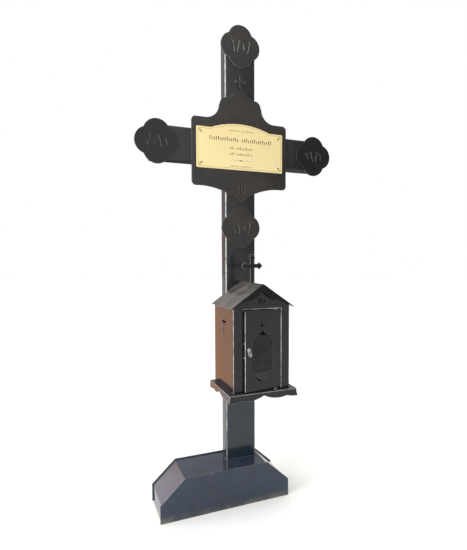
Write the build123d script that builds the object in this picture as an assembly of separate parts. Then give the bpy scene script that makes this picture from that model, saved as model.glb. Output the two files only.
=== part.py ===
from build123d import *
import math
import os

# Painted sheet-steel grave cross: a box-tube cross on a folded base, with a
# name board, four medallions and a small candle lantern on the upright.
# Millimetres. X runs to the viewer's right, Y away from the viewer, Z up.
# Every piece is drawn with Y = 0 on the upright's front face. The last step
# moves them all, so that the origin is on the ground in the middle of the
# whole object's width and depth.

# ---- driving sizes -------------------------------------------------------

# sheet and plate
BASE_SHEET = 2.0          # base plates and their folded cover
TUBE_WALL = 2.0           # upright and arms
PLATE_T = 4.0             # name board, medallions and small crosses
LANTERN_SHEET = 1.5       # lantern walls, roof, shelf and door
CAP_T = 3.0               # plates that close the tube ends
SEAT_GAP = 0.3            # between pieces that nearly touch
PRESS_GAP = 0.1           # round a pin or shank fixed in its hole

# base: a trapezoid box with short upright ends and sloping shoulders
BASE_LENGTH = 412.0
BASE_TOP_LENGTH = 265.0
BASE_HEIGHT = 121.0
BASE_END_HEIGHT = 54.0
BASE_DEPTH = 130.0
BASE_SHIFT = -70.0        # the base runs further to the left, for a flower jar
COVER_INSET = 4.0         # how far both plates stand proud of the cover

# cross
TUBE_W = 100.0
TUBE_D = 40.0
TUBE_CORNER = 5.0
UPRIGHT_TOP = 1422.0
ARM_AXIS_Z = 1096.0
ARM_REACH = 279.0         # from the middle of the cross to a tube's capped end

# medallions: four round lobes about a centre
LOBE_R = 39.5
LOBE_OFFSET = 24.5
TOP_MEDALLION_DROP = 17.0     # medallion's middle below the upright's top
SIDE_MEDALLION_INSET = 19.0   # medallion's middle in from an arm's end
LOWER_MEDALLION_DROP = 242.0  # below the arms' axis

# groove strokes on the medallions
STROKE_W = 5.0
STROKE_H = 34.0
SHORT_STROKE_H = 20.4
STROKE_DEPTH = 2.2

# name board
BOARD_HALF_W = 157.5
BOARD_BELOW_AXIS = 118.0  # from the arms' axis down to the body's lower edge
BOARD_ABOVE_AXIS = 85.0   # and up to its upper edge
BOARD_CORNER = 13.0
BOARD_TIP_DROP = 45.0     # from the lower edge to the middle point
BOARD_SCOOP_HALF = 132.0  # half width of the two hollow curves of the lower edge
NECK_HALF_W = 70.0
NECK_SWEEP = 44.0         # radius of the hollow curve from the body to the neck
NECK_LEDGE = 2.5
SHOULDER_R = 20.0
SHOULDER_FLAT = 8.0
DOME_HALF_W = 29.0
DOME_RISE = 18.0
DOME_STEP = 7.0

# three slim slots cut above the board's point
SLOT_W = 4.0
SLOT_PITCH = 9.5
SLOT_H = 22.0
SLOT_MIDDLE_EXTRA = 7.0
SLOT_POINT = 0.8          # height of a slot's pointed head, in slot widths
SLOT_FOOT_DROP = 21.0     # below the body's lower edge

# name plaque
PLAQUE_HALF_W = 143.0
PLAQUE_ABOVE_EDGE = 53.0  # above the board's lower edge
PLAQUE_SIDE_H = 121.5
PLAQUE_ARCH_HALF = 97.0
PLAQUE_ARCH_RISE = 18.0
PLAQUE_CORNER = 3.0
PLAQUE_T = 1.5

# small raised cross with budded ends
BUD_CROSS_ABOVE_AXIS = 203.0
BUD_CROSS_HALF = 20.5
BUD_BAR = 7.0
BUD_R = 5.5

# lantern box
LANTERN_HALF_W = 86.5
LANTERN_FRONT_Y = -156.5
LANTERN_BACK_Y = 0.0
LANTERN_FLOOR_Z = 383.0   # top face of the shelf
LANTERN_EAVE_H = 237.5    # from the shelf to the roof's lower edges
ROOF_RISE = 66.5
ROOF_SIDE = 10.5          # overhang on each side of the box
ROOF_FRONT = 11.0         # overhang in front of the box
SHELF_SIDE = 17.0         # overhang on each side of the box
SHELF_FRONT = 15.0        # overhang in front of the box
APRON_H = 20.0
APRON_FLARE = 5.0
APRON_END_HOLLOW = 0.6    # how far each end of an apron is hollowed
APRON_TOE = 2.0           # width of the blunt toe at each end
APRON_TOE_H = 1.0
APRON_CUSP = 8.0          # depth left at the middle cusp
APRON_WAIST = 16.0        # depth left where the end lobe meets the wide one
APRON_END_LOBE = 31.0     # width of an end lobe
APRON_LOBE_SAG = 0.3      # the end lobe's rise off the lowest line
APRON_WIDE_SAG = 1.0      # the wide lobe's rise off it

# lantern front opening and door
OPENING_LEFT = -58.5
OPENING_RIGHT = 60.5
OPENING_BELOW_EAVE = 4.5
JAMB_DEPTH = 12.0
DOOR_GAP_LATCH = 1.5
DOOR_GAP_HINGE = 3.0
DOOR_GAP_TOP = 3.0
DOOR_GAP_BOTTOM = 3.5
DOOR_DEPTH = 12.0
DOOR_AJAR = 6.0           # degrees that the door stands open at rest
PIN_R = 3.0
PIN_INSET = 11.5          # pin axis from the door's hinge edge
PIN_CLEARANCE = 0.3
PIN_REACH = 5.0
WASHER_R = 6.0

# window in the door: a domed chapel outline with a cross on its cupola
WINDOW_X = -1.0
WINDOW_ABOVE_FOOT = 54.5  # from the door's foot to the window's
WINDOW_HALF_W = 33.0
WINDOW_DOME_R = 35.0
WINDOW_LEDGE_DROP = 14.0  # from the dome's centre down to the ledge
CUPOLA_R = 16.0
CUPOLA_RISE = 24.6        # from the dome's centre to the cupola's
CUPOLA_BELOW_HEAD = 77.4  # from the door's head to the cupola's centre
CUPOLA_BITE = 0.60        # how far the cross's foot sinks into the cupola
WINDOW_CROSS_H = 30.0
WINDOW_CROSS_HALF = 10.5
WINDOW_CROSS_BAR = 3.4
GLASS_T = 3.0
GLASS_MARGIN = 5.0
GLASS_HEAD_MARGIN = 7.4

# half-moon louvre tongue low on the door
LOUVRE_X = -4.0
LOUVRE_ABOVE_FOOT = 44.5  # from the door's foot to the tongue's fold
LOUVRE_R = 18.0
LOUVRE_ANGLE = 45.0
LOUVRE_BITE = 0.5         # how far the tongue's root sits above the fold

# turning latch tab on the door
LATCH_INSET = 11.5        # pivot in from the door's free edge
LATCH_ABOVE_FOOT = 118.5  # pivot above the door's foot
LATCH_W = 10.0
LATCH_L = 26.0
LATCH_T = 1.5
LATCH_TILT = 17.0
LATCH_HOLE_R = 2.0
LATCH_RIVET_GAP = 0.2
RIVET_R = 1.8
RIVET_HEAD_R = 3.4
RIVET_HEAD_T = 1.4
RIVET_TAIL_T = 1.2

# crosses cut in the lantern's side walls
SIDE_CROSS_FRONT = 77.5   # upright bar's middle behind the box's front
SIDE_CROSS_DROP = 83.5    # from the eave down to the cross's foot
SIDE_CROSS_H = 56.0
SIDE_CROSS_HALF = 18.0
SIDE_CROSS_BAR = 7.0

# three-light vent in the gable
GABLE_VENT_RISE = 14.0    # slots' feet above the opening's head
GABLE_SLOT_W = 4.2
GABLE_SLOT_PITCH = 7.0
GABLE_SLOT_H = 13.0
GABLE_MIDDLE_EXTRA = 6.0

# barge board under the roof's front edge
BARGE_PEAK = 19.0         # depth of the board below the ridge
BARGE_WAIST_X = 43.0
BARGE_WAIST = 17.0        # depth at the waist
BARGE_NOTCH = 3.0

# cross on the roof
ROOF_CROSS_H = 83.0
ROOF_CROSS_HALF = 33.5
ROOF_CROSS_BAR = 12.0
ROOF_CROSS_ARM = 49.0     # height of the cross bar above the ridge
ROOF_CROSS_BUD = 10.5
ROOF_CROSS_FRONT = 80.5   # cross's middle behind the roof's front edge
ROOF_SADDLE = 11.0        # half width of the notch that straddles the ridge

# ---- derived places ------------------------------------------------------

COVER_TOP_Z = BASE_HEIGHT - COVER_INSET
TOP_MEDALLION_Z = UPRIGHT_TOP - TOP_MEDALLION_DROP
SIDE_MEDALLION_X = ARM_REACH - SIDE_MEDALLION_INSET
LOWER_MEDALLION_Z = ARM_AXIS_Z - LOWER_MEDALLION_DROP
BOARD_BOTTOM_Z = ARM_AXIS_Z - BOARD_BELOW_AXIS
BOARD_TOP_Z = ARM_AXIS_Z + BOARD_ABOVE_AXIS
SLOT_FOOT_Z = BOARD_BOTTOM_Z - SLOT_FOOT_DROP
PLAQUE_BOTTOM_Z = BOARD_BOTTOM_Z + PLAQUE_ABOVE_EDGE
BUD_CROSS_Z = ARM_AXIS_Z + BUD_CROSS_ABOVE_AXIS
ROOF_HALF_W = LANTERN_HALF_W + ROOF_SIDE
ROOF_EAVE_Z = LANTERN_FLOOR_Z + LANTERN_EAVE_H
ROOF_RIDGE_Z = ROOF_EAVE_Z + ROOF_RISE
ROOF_FRONT_Y = LANTERN_FRONT_Y - ROOF_FRONT
SHELF_HALF_W = LANTERN_HALF_W + SHELF_SIDE
SHELF_FRONT_Y = LANTERN_FRONT_Y - SHELF_FRONT
OPENING_TOP_Z = ROOF_EAVE_Z - OPENING_BELOW_EAVE
ROOF_SLOPE = math.atan2(ROOF_RIDGE_Z - ROOF_EAVE_Z, ROOF_HALF_W)
ROOF_DROP = LANTERN_SHEET / math.cos(ROOF_SLOPE)
BOARD_FACE_Y = -PLATE_T
PIN_X = OPENING_RIGHT - DOOR_GAP_HINGE - PIN_INSET
PIN_Y = LANTERN_FRONT_Y + DOOR_DEPTH / 2
DOOR_LEFT = OPENING_LEFT + DOOR_GAP_LATCH
DOOR_RIGHT = OPENING_RIGHT - DOOR_GAP_HINGE
DOOR_BOTTOM_Z = LANTERN_FLOOR_Z + DOOR_GAP_BOTTOM
DOOR_TOP_Z = OPENING_TOP_Z - DOOR_GAP_TOP
WINDOW_FOOT_Z = DOOR_BOTTOM_Z + WINDOW_ABOVE_FOOT
CUPOLA_Z = DOOR_TOP_Z - CUPOLA_BELOW_HEAD
WINDOW_DOME_Z = CUPOLA_Z - CUPOLA_RISE
WINDOW_LEDGE_Z = WINDOW_DOME_Z - WINDOW_LEDGE_DROP
LOUVRE_Z = DOOR_BOTTOM_Z + LOUVRE_ABOVE_FOOT
LATCH_PIVOT_X = DOOR_LEFT + LATCH_INSET
LATCH_PIVOT_Z = DOOR_BOTTOM_Z + LATCH_ABOVE_FOOT
SIDE_CROSS_Y = LANTERN_FRONT_Y + SIDE_CROSS_FRONT
SIDE_CROSS_FOOT_Z = ROOF_EAVE_Z - SIDE_CROSS_DROP
GABLE_VENT_Z = OPENING_TOP_Z + GABLE_VENT_RISE
ROOF_CROSS_Y = ROOF_FRONT_Y + ROOF_CROSS_FRONT


def roof_z(x):
    """Height of the roof's upper face at a distance x from the ridge."""
    return ROOF_RIDGE_Z - abs(x) * math.tan(ROOF_SLOPE)


# ---- shared shapes -------------------------------------------------------

def upright_plate(outline, thickness, back_y):
    """A flat plate facing the viewer: the outline is drawn in X and Z."""
    return extrude(Plane.XZ.offset(-back_y) * outline, thickness)


def outline_face(*runs):
    """A face from lines and arcs joined end to end, with their mirror image about x = 0."""
    half = [edge for run in runs for edge in run.edges()]
    other = [edge.mirror(Plane.YZ) for edge in half]
    return make_face(half + other)


def bar(x0, x1, y0, y1, z0, z1):
    """A plain block between two corners."""
    size = Box(x1 - x0, y1 - y0, z1 - z0)
    return Pos((x0 + x1) / 2, (y0 + y1) / 2, (z0 + z1) / 2) * size


def pointed_slot(x, foot, width, height):
    """A slim upright slot with a pointed head, drawn in X and Z."""
    half = width / 2
    points = [(x - half, foot), (x + half, foot), (x + half, foot + height),
              (x, foot + height + width * SLOT_POINT), (x - half, foot + height)]
    return make_face(Polyline(*points, close=True))


def three_slots(foot, width, pitch, height, middle_extra):
    """Three slim pointed slots side by side, the middle one taller."""
    slots = [pointed_slot(-pitch, foot, width, height),
             pointed_slot(0, foot, width, height + middle_extra),
             pointed_slot(pitch, foot, width, height)]
    return Sketch() + slots


def box_tube(length):
    """A hollow tube along Z from z = 0, with rounded corners."""
    outer = RectangleRounded(TUBE_W, TUBE_D, TUBE_CORNER)
    inner = RectangleRounded(TUBE_W - 2 * TUBE_WALL, TUBE_D - 2 * TUBE_WALL,
                             TUBE_CORNER - TUBE_WALL)
    return extrude(outer - inner, length)


def tube_cap(thickness):
    """A plate with the tube's outside shape, to close one end."""
    return extrude(RectangleRounded(TUBE_W, TUBE_D, TUBE_CORNER), thickness)


# ---- base ----------------------------------------------------------------

def base_profile(inset):
    """The base's end-on outline in X and Z, drawn in by an inset on every side but the ground."""
    half = BASE_LENGTH / 2
    top_half = BASE_TOP_LENGTH / 2
    rise = BASE_HEIGHT - BASE_END_HEIGHT
    run = half - top_half
    slope = math.hypot(rise, run)
    # the inset slope meets the inset end and the inset top along their mitres
    end_drop = inset * (slope - rise) / run
    top_in = inset * (slope - run) / rise
    corners = [(half - inset, 0), (half - inset, BASE_END_HEIGHT - end_drop),
               (top_half - top_in, BASE_HEIGHT - inset)]
    ring = corners + [(-x, z) for x, z in reversed(corners)]
    return [(x + BASE_SHIFT, z) for x, z in ring]


def base_plate(front_y):
    """One flat trapezoid plate of the base, its viewer's side at front_y."""
    outline = make_face(Polyline(*base_profile(0), close=True))
    return upright_plate(outline, BASE_SHEET, front_y + BASE_SHEET)


def base_cover():
    """The folded strip between the two plates: end, slope, top, slope, end."""
    outer = make_face(Polyline(*base_profile(COVER_INSET), close=True))
    inner = make_face(Polyline(*base_profile(COVER_INSET + BASE_SHEET), close=True))
    strip_depth = BASE_DEPTH - 2 * BASE_SHEET
    return upright_plate(outer - inner, strip_depth, strip_depth / 2)


# ---- upright and arms ----------------------------------------------------

def upright():
    """The tall tube, standing on the base's cover."""
    height = UPRIGHT_TOP - CAP_T - COVER_TOP_Z
    return Pos(0, TUBE_D / 2, COVER_TOP_Z) * box_tube(height)


def upright_cap():
    """The plate that closes the top of the upright."""
    return Pos(0, TUBE_D / 2, UPRIGHT_TOP - CAP_T) * tube_cap(CAP_T)


def arm(side):
    """One arm tube, from the upright's side to its cap. side is -1 or 1."""
    length = ARM_REACH - CAP_T - TUBE_W / 2
    turn = Rot(0, side * 90, 0)
    return Pos(side * TUBE_W / 2, TUBE_D / 2, ARM_AXIS_Z) * turn * box_tube(length)


def arm_cap(side):
    """The plate that closes one arm's outer end."""
    turn = Rot(0, side * 90, 0)
    start = side * (ARM_REACH - CAP_T)
    return Pos(start, TUBE_D / 2, ARM_AXIS_Z) * turn * tube_cap(CAP_T)


# ---- medallions ----------------------------------------------------------

def quatrefoil():
    """Four equal round lobes about the middle."""
    lobes = [Pos(LOBE_OFFSET * math.cos(a), LOBE_OFFSET * math.sin(a)) * Circle(LOBE_R)
             for a in (0, math.pi / 2, math.pi, 3 * math.pi / 2)]
    return Sketch() + lobes


def stroke(x, lean, height):
    """One leaning groove, centred at x and as tall as given."""
    return Pos(x, 0) * Rot(0, 0, lean) * SlotOverall(height, STROKE_W, rotation=90)


def medallion(x, z, strokes):
    """A lobed plate with a row of shallow leaning grooves in its face."""
    plate = upright_plate(Pos(x, z) * quatrefoil(), PLATE_T, 0)
    row = Sketch() + [Pos(x, z) * stroke(*each) for each in strokes]
    groove = upright_plate(row, 2 * STROKE_DEPTH, STROKE_DEPTH - PLATE_T)
    return plate - groove


# each row: place across the plate, lean in degrees and height of every stroke
STROKE_ROWS = {
    "medallion_top": [(-25, 12, STROKE_H), (-9, -12, STROKE_H), (8, 12, SHORT_STROKE_H),
                      (25, -12, STROKE_H)],
    "medallion_left": [(-26, -14, STROKE_H), (-10, -14, SHORT_STROKE_H), (7, 14, STROKE_H),
                       (25, 14, SHORT_STROKE_H)],
    "medallion_right": [(-25, 14, SHORT_STROKE_H), (-8, 14, STROKE_H), (10, -14, STROKE_H),
                        (26, 14, SHORT_STROKE_H)],
    "medallion_lower": [(-26, 12, STROKE_H), (-9, 12, STROKE_H), (9, -12, SHORT_STROKE_H),
                        (26, -12, STROKE_H)],
}


# ---- name board and plaque -----------------------------------------------

def board_outline():
    """The name board: domed head, round shoulders, hollow neck, wide body, pointed foot."""
    shoulder_x = NECK_HALF_W - NECK_LEDGE - SHOULDER_R
    sweep_z = BOARD_TOP_Z + NECK_SWEEP
    ledge_z = sweep_z + NECK_LEDGE
    shoulder_z = ledge_z + SHOULDER_R
    dome_foot_z = shoulder_z + DOME_STEP
    dome_x = min(DOME_HALF_W, shoulder_x - SHOULDER_FLAT)
    dome_r = (DOME_HALF_W ** 2 + DOME_RISE ** 2) / (2 * DOME_RISE)
    corner = BOARD_CORNER
    side = BOARD_HALF_W
    half_turn = math.atan(BOARD_TIP_DROP / BOARD_SCOOP_HALF)
    scoop_r = BOARD_SCOOP_HALF / math.sin(2 * half_turn)
    k = math.sqrt(0.5)
    head = ThreePointArc((0, dome_foot_z + DOME_RISE),
                         (dome_x / 2, dome_foot_z + DOME_RISE
                          - dome_r + math.sqrt(dome_r ** 2 - (dome_x / 2) ** 2)),
                         (dome_x, dome_foot_z))
    step = Polyline((dome_x, dome_foot_z), (shoulder_x - SHOULDER_FLAT / 2, shoulder_z),
                    (shoulder_x, shoulder_z))
    shoulder = ThreePointArc((shoulder_x, shoulder_z),
                             (shoulder_x + SHOULDER_R * k, ledge_z + SHOULDER_R * k),
                             (shoulder_x + SHOULDER_R, ledge_z))
    ledge = Line((shoulder_x + SHOULDER_R, ledge_z), (NECK_HALF_W, sweep_z))
    sweep = ThreePointArc((NECK_HALF_W, sweep_z),
                          (NECK_HALF_W + NECK_SWEEP * (1 - k), sweep_z - NECK_SWEEP * k),
                          (NECK_HALF_W + NECK_SWEEP, BOARD_TOP_Z))
    top = Line((NECK_HALF_W + NECK_SWEEP, BOARD_TOP_Z), (side - corner, BOARD_TOP_Z))
    upper_corner = ThreePointArc((side - corner, BOARD_TOP_Z),
                                 (side - corner + corner * k, BOARD_TOP_Z - corner + corner * k),
                                 (side, BOARD_TOP_Z - corner))
    edge = Line((side, BOARD_TOP_Z - corner), (side, BOARD_BOTTOM_Z + corner))
    lower_corner = ThreePointArc((side, BOARD_BOTTOM_Z + corner),
                                 (side - corner + corner * k, BOARD_BOTTOM_Z + corner - corner * k),
                                 (side - corner, BOARD_BOTTOM_Z))
    bottom = Line((side - corner, BOARD_BOTTOM_Z), (BOARD_SCOOP_HALF, BOARD_BOTTOM_Z))
    # the hollow curve leaves the lower edge level and falls ever steeper to the point
    middle_x = BOARD_SCOOP_HALF - scoop_r * math.sin(half_turn)
    middle_z = BOARD_BOTTOM_Z - scoop_r * (1 - math.cos(half_turn))
    scoop = ThreePointArc((BOARD_SCOOP_HALF, BOARD_BOTTOM_Z), (middle_x, middle_z),
                          (0, BOARD_BOTTOM_Z - BOARD_TIP_DROP))
    return outline_face(head, step, shoulder, ledge, sweep, top, upper_corner, edge,
                        lower_corner, bottom, scoop)


def name_board():
    """The shaped plate on the crossing, with three slim slots above its point."""
    slots = three_slots(SLOT_FOOT_Z, SLOT_W, SLOT_PITCH, SLOT_H, SLOT_MIDDLE_EXTRA)
    return upright_plate(board_outline() - slots, PLATE_T, 0)


def plaque_outline():
    """The plaque: a rectangle whose top rises in a flat arch between two cusps."""
    side_top = PLAQUE_BOTTOM_Z + PLAQUE_SIDE_H
    plate = Pos(0, PLAQUE_BOTTOM_Z + PLAQUE_SIDE_H / 2) * RectangleRounded(
        2 * PLAQUE_HALF_W, PLAQUE_SIDE_H, PLAQUE_CORNER)
    arch = ThreePointArc((-PLAQUE_ARCH_HALF, side_top), (0, side_top + PLAQUE_ARCH_RISE),
                         (PLAQUE_ARCH_HALF, side_top))
    below = Polyline((PLAQUE_ARCH_HALF, side_top), (PLAQUE_ARCH_HALF, side_top - PLAQUE_CORNER),
                     (-PLAQUE_ARCH_HALF, side_top - PLAQUE_CORNER), (-PLAQUE_ARCH_HALF, side_top))
    return plate + make_face(arch.edges() + below.edges())


def bud_cross(arm_half, foot, head, bar_width, bud, bar_z):
    """A cross whose arms end in pointed buds, drawn in X and Z about x = 0."""
    shape = Pos(0, (foot + head) / 2) * Rectangle(bar_width, head - foot)
    shape += Pos(0, bar_z) * Rectangle(2 * arm_half - bud, bar_width)
    for x, z in ((0, head - bud), (arm_half - bud, bar_z), (bud - arm_half, bar_z)):
        diamond = Rot(0, 0, 45) * Rectangle(bud * math.sqrt(2), bud * math.sqrt(2))
        shape += Pos(x, z) * diamond
    return shape


def small_cross():
    """The little raised cross on the upright, with four budded arms."""
    foot = BUD_CROSS_Z - BUD_CROSS_HALF
    head = BUD_CROSS_Z + BUD_CROSS_HALF
    shape = bud_cross(BUD_CROSS_HALF, foot + BUD_R, head, BUD_BAR, BUD_R, BUD_CROSS_Z)
    shape += Pos(0, foot + BUD_R) * Rot(0, 0, 45) * Rectangle(BUD_R * math.sqrt(2),
                                                           BUD_R * math.sqrt(2))
    return upright_plate(shape, PLATE_T, 0)


# ---- lantern -------------------------------------------------------------

def gabled_wall():
    """The outline of the box's front and back: straight sides up to the roof's two slopes."""
    half = LANTERN_HALF_W
    under_roof = ROOF_DROP + SEAT_GAP
    return make_face(Polyline((-half, LANTERN_FLOOR_Z), (half, LANTERN_FLOOR_Z),
                              (half, roof_z(half) - under_roof),
                              (0, ROOF_RIDGE_Z - under_roof),
                              (-half, roof_z(half) - under_roof), close=True))


def lantern_shell():
    """Back and two side walls folded from one sheet, with a cross cut in each side."""
    half = LANTERN_HALF_W
    sheet = LANTERN_SHEET
    front = LANTERN_FRONT_Y + sheet
    wall_top = roof_z(half) - ROOF_DROP - SEAT_GAP
    shell = bar(-half, half, front, LANTERN_BACK_Y, LANTERN_FLOOR_Z, wall_top)
    shell -= bar(-half + sheet, half - sheet, front, LANTERN_BACK_Y - sheet,
                 LANTERN_FLOOR_Z, wall_top)
    shell += upright_plate(gabled_wall(), sheet, LANTERN_BACK_Y)
    mid = SIDE_CROSS_FOOT_Z + SIDE_CROSS_H - SIDE_CROSS_HALF
    wide = SIDE_CROSS_BAR / 2
    for side in (-1, 1):
        x0, x1 = sorted((side * (half + sheet), side * (half - 2 * sheet)))
        shell -= bar(x0, x1, SIDE_CROSS_Y - wide, SIDE_CROSS_Y + wide, SIDE_CROSS_FOOT_Z,
                     SIDE_CROSS_FOOT_Z + SIDE_CROSS_H)
        shell -= bar(x0, x1, SIDE_CROSS_Y - SIDE_CROSS_HALF, SIDE_CROSS_Y + SIDE_CROSS_HALF,
                     mid - wide, mid + wide)
    return shell


def lantern_front():
    """The front sheet: two stiles and the gable, with jambs and head folded inward."""
    sheet = LANTERN_SHEET
    hole_h = OPENING_TOP_Z - LANTERN_FLOOR_Z
    hole = Pos((OPENING_LEFT + OPENING_RIGHT) / 2, LANTERN_FLOOR_Z + hole_h / 2) * Rectangle(
        OPENING_RIGHT - OPENING_LEFT, hole_h)
    vent = three_slots(GABLE_VENT_Z, GABLE_SLOT_W, GABLE_SLOT_PITCH, GABLE_SLOT_H,
                       GABLE_MIDDLE_EXTRA)
    front = upright_plate(gabled_wall() - hole - vent, sheet, LANTERN_FRONT_Y + sheet)
    back = LANTERN_FRONT_Y + JAMB_DEPTH
    front += bar(OPENING_LEFT - sheet, OPENING_LEFT, LANTERN_FRONT_Y, back,
                 LANTERN_FLOOR_Z, OPENING_TOP_Z)
    front += bar(OPENING_RIGHT, OPENING_RIGHT + sheet, LANTERN_FRONT_Y, back,
                 LANTERN_FLOOR_Z, OPENING_TOP_Z)
    front += bar(OPENING_LEFT - sheet, OPENING_RIGHT + sheet, LANTERN_FRONT_Y, back,
                 OPENING_TOP_Z, OPENING_TOP_Z + sheet)
    socket = Pos(PIN_X, PIN_Y, OPENING_TOP_Z) * Cylinder(PIN_R + PRESS_GAP, 4 * sheet)
    return front - socket


def lantern_roof():
    """One sheet folded along the ridge."""
    ring = [(-ROOF_HALF_W, ROOF_EAVE_Z), (0, ROOF_RIDGE_Z), (ROOF_HALF_W, ROOF_EAVE_Z),
            (ROOF_HALF_W, ROOF_EAVE_Z - ROOF_DROP), (0, ROOF_RIDGE_Z - ROOF_DROP),
            (-ROOF_HALF_W, ROOF_EAVE_Z - ROOF_DROP)]
    outline = make_face(Polyline(*ring, close=True))
    depth = LANTERN_BACK_Y - SEAT_GAP - ROOF_FRONT_Y
    return upright_plate(outline, depth, LANTERN_BACK_Y - SEAT_GAP)


def lantern_barge_board():
    """The shaped board under the roof's front edge: two hollow curves a side."""
    drop = ROOF_DROP
    eave = ROOF_HALF_W
    waist_z = roof_z(BARGE_WAIST_X) - drop - BARGE_WAIST
    peak_z = ROOF_RIDGE_Z - drop - BARGE_PEAK
    upper = Line((0, ROOF_RIDGE_Z - drop), (eave, roof_z(eave) - drop))
    outer_mid_x = (BARGE_WAIST_X + eave) / 2
    outer_start = waist_z + BARGE_NOTCH
    outer_mid_z = (outer_start + roof_z(eave) - drop) / 2 + BARGE_NOTCH
    outer = ThreePointArc((eave, roof_z(eave) - drop), (outer_mid_x, outer_mid_z),
                          (BARGE_WAIST_X, outer_start))
    notch = Line((BARGE_WAIST_X, outer_start), (BARGE_WAIST_X, waist_z))
    inner_mid_x = BARGE_WAIST_X / 2
    inner_mid_z = (waist_z + peak_z) / 2 - BARGE_NOTCH
    inner = ThreePointArc((BARGE_WAIST_X, waist_z), (inner_mid_x, inner_mid_z), (0, peak_z))
    face = outline_face(upper, outer, notch, inner)
    return upright_plate(face, LANTERN_SHEET, ROOF_FRONT_Y + LANTERN_SHEET)


def lantern_shelf():
    """The flat plate under the box, wider and deeper than it."""
    shelf = bar(-SHELF_HALF_W, SHELF_HALF_W, SHELF_FRONT_Y, LANTERN_BACK_Y,
                LANTERN_FLOOR_Z - LANTERN_SHEET, LANTERN_FLOOR_Z)
    socket = Pos(PIN_X, PIN_Y, LANTERN_FLOOR_Z) * Cylinder(PIN_R + PRESS_GAP,
                                                           4 * LANTERN_SHEET)
    return shelf - socket


def scallop_edges(half, top, depth, flare):
    """Half of an apron: flared end, end lobe, wide lobe and a cusp in the middle."""
    foot = top - depth
    waist_x = half - APRON_END_LOBE
    waist_z = top - APRON_WAIST
    end_x = half + flare
    upper = Line((0, top), (half, top))
    hollow = ((half + end_x - flare / 2) / 2 - APRON_END_HOLLOW, top - depth / 2)
    end = ThreePointArc((half, top), hollow, (end_x, foot + APRON_TOE_H))
    toe = Line((end_x, foot + APRON_TOE_H), (end_x - APRON_TOE, foot))
    lobe = ThreePointArc((end_x - APRON_TOE, foot),
                         ((waist_x + half) / 2, foot + APRON_LOBE_SAG), (waist_x, waist_z))
    wide = ThreePointArc((waist_x, waist_z), (waist_x / 2, foot + APRON_WIDE_SAG),
                         (0, top - APRON_CUSP))
    return upper, end, toe, lobe, wide


def lantern_apron_front():
    """The scalloped strip hanging from the shelf's front edge."""
    top = LANTERN_FLOOR_Z - LANTERN_SHEET
    face = outline_face(*scallop_edges(SHELF_HALF_W, top, APRON_H, APRON_FLARE))
    return upright_plate(face, LANTERN_SHEET, SHELF_FRONT_Y + LANTERN_SHEET)


def lantern_apron_side(side):
    """The same scalloped strip along one side of the shelf, square at both ends."""
    top = LANTERN_FLOOR_Z - LANTERN_SHEET
    front = SHELF_FRONT_Y + LANTERN_SHEET
    back = LANTERN_BACK_Y
    half = (back - front) / 2
    face = outline_face(*scallop_edges(half, top, APRON_H, 0))
    strip = extrude(Plane.YZ * Pos((front + back) / 2, 0) * face, LANTERN_SHEET)
    x = SHELF_HALF_W - LANTERN_SHEET if side > 0 else -SHELF_HALF_W
    return Pos(x, 0, 0) * strip


# ---- door ----------------------------------------------------------------

def on_ajar_door(shape):
    """Turn a piece, drawn with the door shut, about the hinge pins to where the door rests."""
    return Pos(PIN_X, PIN_Y, 0) * Rot(0, 0, DOOR_AJAR) * Pos(-PIN_X, -PIN_Y, 0) * shape


def window_outline():
    """Chapel outline: walls, a slightly wider dome, a cupola and a thin cross."""
    wall_h = WINDOW_LEDGE_Z - WINDOW_FOOT_Z
    shape = Pos(0, WINDOW_FOOT_Z + wall_h / 2) * Rectangle(2 * WINDOW_HALF_W, wall_h)
    dome = Pos(0, WINDOW_DOME_Z) * Circle(WINDOW_DOME_R)
    above = Pos(0, WINDOW_LEDGE_Z + WINDOW_DOME_R) * Rectangle(4 * WINDOW_DOME_R, 2 * WINDOW_DOME_R)
    shape += dome & above
    shape += Pos(0, CUPOLA_Z) * Circle(CUPOLA_R)
    foot = CUPOLA_Z + CUPOLA_R - CUPOLA_BITE
    head = foot + WINDOW_CROSS_H
    shape += bud_cross(WINDOW_CROSS_HALF, foot, head, WINDOW_CROSS_BAR, WINDOW_CROSS_BAR,
                       head - WINDOW_CROSS_HALF)
    return Pos(WINDOW_X, 0) * shape


def half_moon(radius):
    """A half disc hanging below a level edge at z = 0."""
    keep = Pos(0, -radius) * Rectangle(4 * radius, 2 * radius)
    return Circle(radius) & keep


def lantern_door():
    """A shallow folded tray with the window, the pin holes and the half-moon louvre."""
    sheet = LANTERN_SHEET
    back = LANTERN_FRONT_Y + DOOR_DEPTH
    tray = bar(DOOR_LEFT, DOOR_RIGHT, LANTERN_FRONT_Y, back, DOOR_BOTTOM_Z, DOOR_TOP_Z)
    tray -= bar(DOOR_LEFT + sheet, DOOR_RIGHT - sheet, LANTERN_FRONT_Y + sheet, back,
                DOOR_BOTTOM_Z + sheet, DOOR_TOP_Z - sheet)
    moon = Pos(LOUVRE_X, LOUVRE_Z) * half_moon(LOUVRE_R)
    cut = upright_plate(window_outline() + moon, 3 * sheet, LANTERN_FRONT_Y + 2 * sheet)
    rivet_hole = Pos(LATCH_PIVOT_X, LATCH_PIVOT_Z) * Circle(RIVET_R + PRESS_GAP)
    cut += upright_plate(rivet_hole, 3 * sheet, LANTERN_FRONT_Y + 2 * sheet)
    for z in (DOOR_BOTTOM_Z, DOOR_TOP_Z):
        cut += Pos(PIN_X, PIN_Y, z) * Cylinder(PIN_R + PIN_CLEARANCE, 6 * sheet)
    tongue = extrude(Plane.XZ * half_moon(LOUVRE_R - SEAT_GAP), sheet)
    swung = Rot(-LOUVRE_ANGLE, 0, 0) * Pos(0, sheet, 0) * tongue
    hinge_line = Pos(LOUVRE_X, LANTERN_FRONT_Y, LOUVRE_Z + LOUVRE_BITE)
    return on_ajar_door((tray - cut) + hinge_line * swung)


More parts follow.
